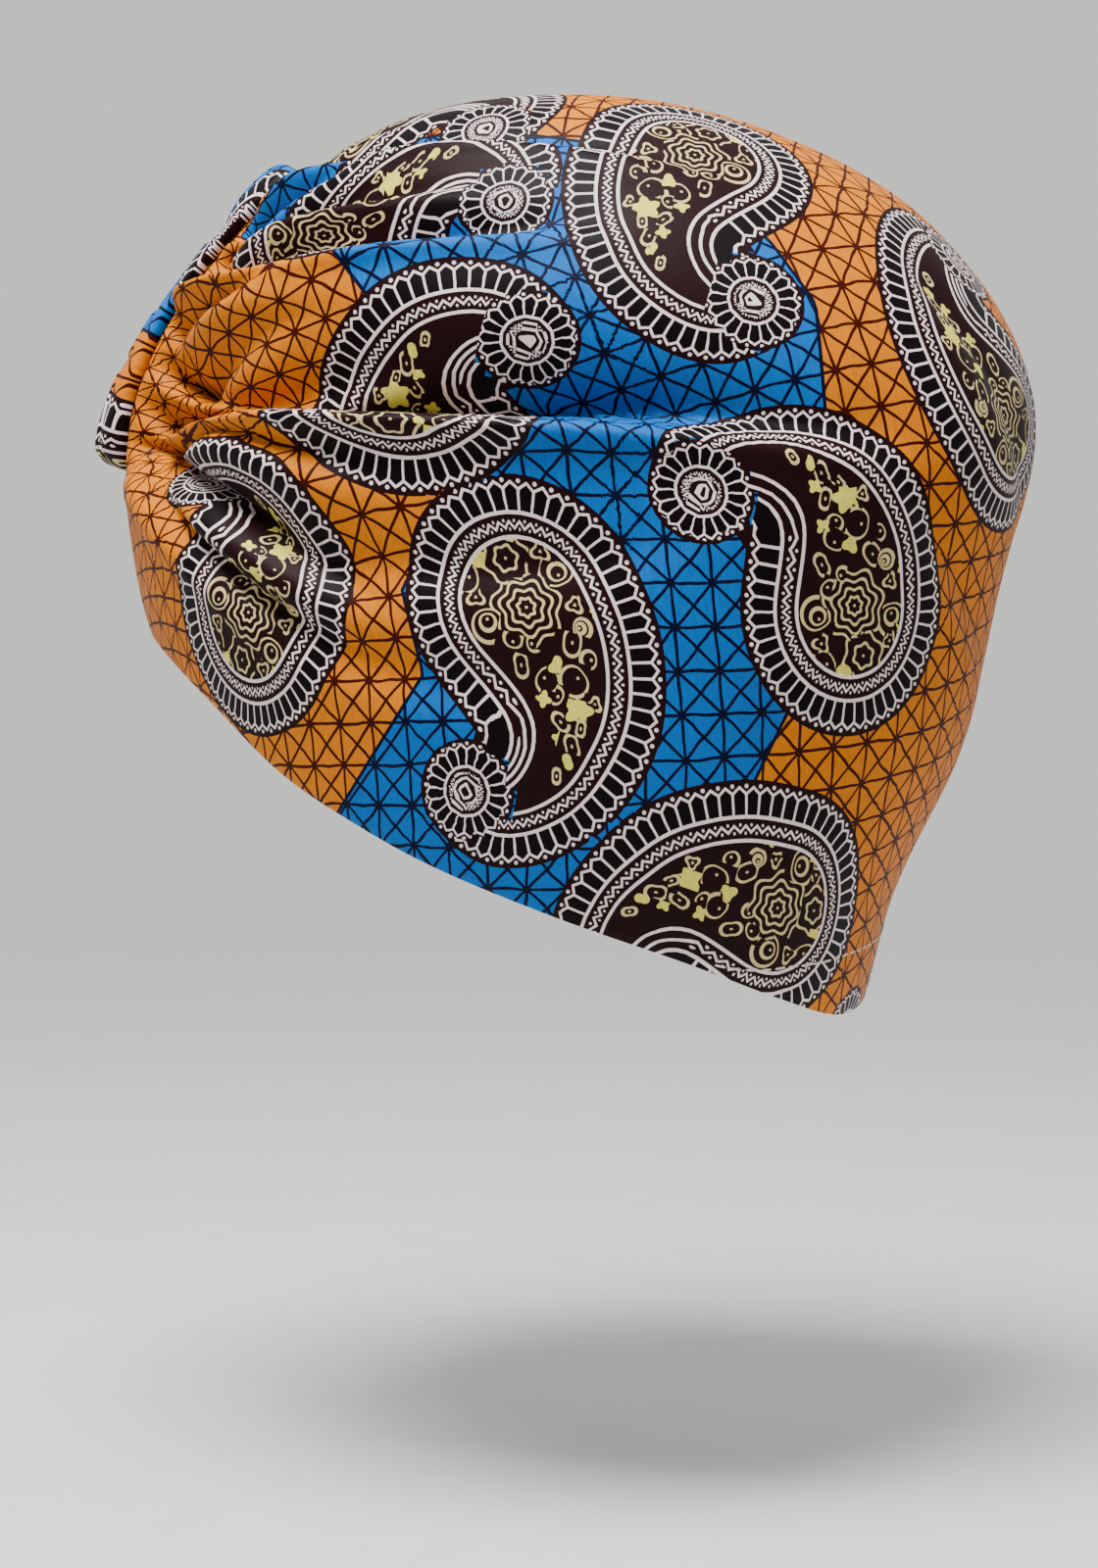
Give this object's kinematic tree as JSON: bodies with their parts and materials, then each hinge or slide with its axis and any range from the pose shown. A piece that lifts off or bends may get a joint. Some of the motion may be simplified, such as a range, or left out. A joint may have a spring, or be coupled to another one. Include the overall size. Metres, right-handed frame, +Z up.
{
  "type": "turban headwrap",
  "caption": "Pre-tied turban headwrap: a hollow printed cloth crown gathered into folds under a short wrapped knot at the centre front, with a turned-in hem round its open lower edge.",
  "frame": {"origin": "the point inside the top of the crown where the top of a head touches it", "axes": "+Z up, the face looks along -Y, the wearer's left is +X"},
  "size_m": [0.1536, 0.194, 0.1855],
  "materials": {
    "printed_cloth": "smooth printed cloth with a slight sheen",
    "cloth_wrong_side": "matt wrong side of the printed cloth"
  },
  "bodies": {
    "root": {"crown": "printed_cloth", "front_knot": "printed_cloth", "hem": "cloth_wrong_side"}
  },
  "joints": []
}
